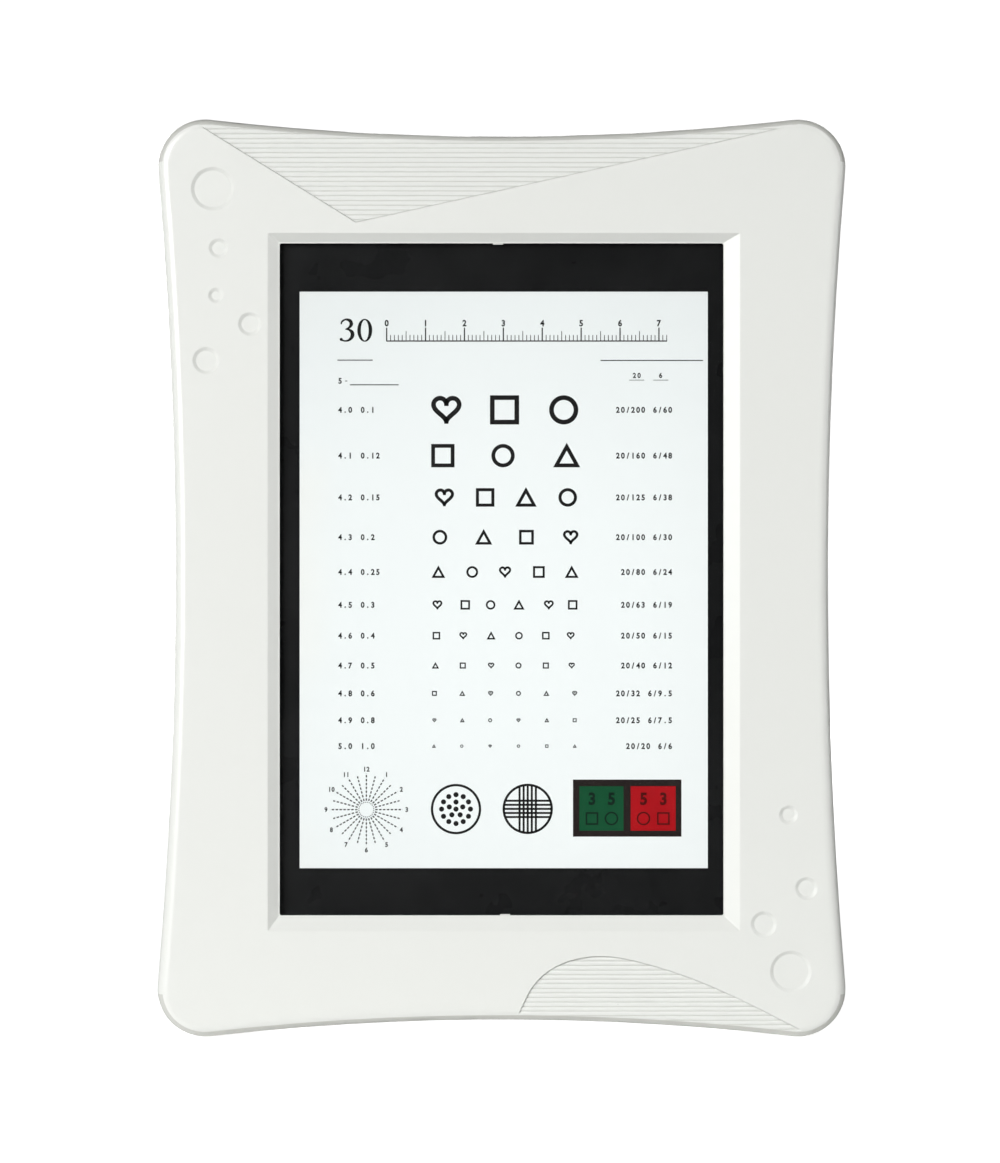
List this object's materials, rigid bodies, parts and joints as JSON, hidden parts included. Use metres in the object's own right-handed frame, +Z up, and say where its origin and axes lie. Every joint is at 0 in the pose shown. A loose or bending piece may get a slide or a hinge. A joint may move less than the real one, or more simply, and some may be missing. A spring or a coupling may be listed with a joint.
{
  "type": "near vision test light box",
  "caption": "Back-lit near-vision test light box: a curved white two-shell case round a windowed chart, with battery bay, fold-out stand, slide switch and wall-hanging keyholes.",
  "frame": {"origin": "on the ground under the middle of the case, halfway through its depth", "axes": "+Z up, the chart faces -Y, +X to the right of someone reading the chart"},
  "size_m": [0.1766, 0.025, 0.2354],
  "materials": {
    "white_abs": "moulded gloss ABS, slightly warm white",
    "clear_lens": "clear acrylic sheet",
    "adhesive": "thin acrylic foam tape",
    "chart_print": "printed translucent film, lit from behind",
    "diffuser": "opal diffuser sheet",
    "guide_acrylic": "polished acrylic plate",
    "reflector": "white reflective film",
    "tray_plastic": "moulded white plastic",
    "circuit_board": "green solder mask",
    "led_package": "white package with yellow phosphor",
    "steel_screw": "zinc-plated steel",
    "foot_rubber": "soft black rubber",
    "pin_steel": "drawn steel wire",
    "cell_wrap": "printed wrap over a steel can",
    "nickel": "nickel-plated spring steel",
    "black_component": "moulded epoxy or nylon",
    "capacitor_can": "bare aluminium can",
    "header_nylon": "natural nylon",
    "knob_black": "moulded nylon",
    "lead_red": "PVC insulation",
    "lead_black": "PVC insulation"
  },
  "bodies": {
    "case": {"front_bezel": "white_abs", "rear_cover": "white_abs", "front_lens": "clear_lens", "lens_tape": "adhesive", "chart_film": "chart_print", "diffuser_sheet": "diffuser", "light_guide": "guide_acrylic", "reflector_sheet": "reflector", "backlight_tray": "tray_plastic", "led_board_left": "circuit_board", "led_board_right": "circuit_board", "main_board": "circuit_board", "leds_left": "led_package", "leds_right": "led_package", "tray_screws": "steel_screw", "case_screws": "steel_screw", "board_screws": "steel_screw", "rubber_feet": "foot_rubber", "hinge_pin": "pin_steel", "battery_cell_1": "cell_wrap", "battery_cell_2": "cell_wrap", "battery_cell_3": "cell_wrap", "battery_cell_4": "cell_wrap", "contact_plates": "nickel", "contact_springs": "nickel", "driver_ic": "black_component", "boost_inductor": "black_component", "board_resistors": "black_component", "dc_jack": "black_component", "slide_switch": "black_component", "filter_capacitor": "capacitor_can", "wire_headers": "header_nylon", "battery_lead_positive": "lead_red", "led_lead_right": "lead_red", "battery_lead_negative": "lead_black", "led_lead_left": "lead_black"},
    "stand": {"stand_leg": "white_abs", "stand_foot": "foot_rubber"},
    "door": {"battery_door": "white_abs"},
    "knob": {"switch_knob": "knob_black"}
  },
  "joints": [
    {"name": "stand_hinge", "type": "hinge", "parent": "case", "child": "stand", "pos_m": [0, 0.0076, 0.13968], "axis": [1, 0, 0], "range_deg": [0, 40]},
    {"name": "battery_door_lift", "type": "slide", "parent": "case", "child": "door", "axis": [0, 1, 0], "range_m": [0, 0.03]},
    {"name": "switch_slide", "type": "slide", "parent": "case", "child": "knob", "axis": [0, 0, 1], "range_m": [0, 0.004]}
  ]
}
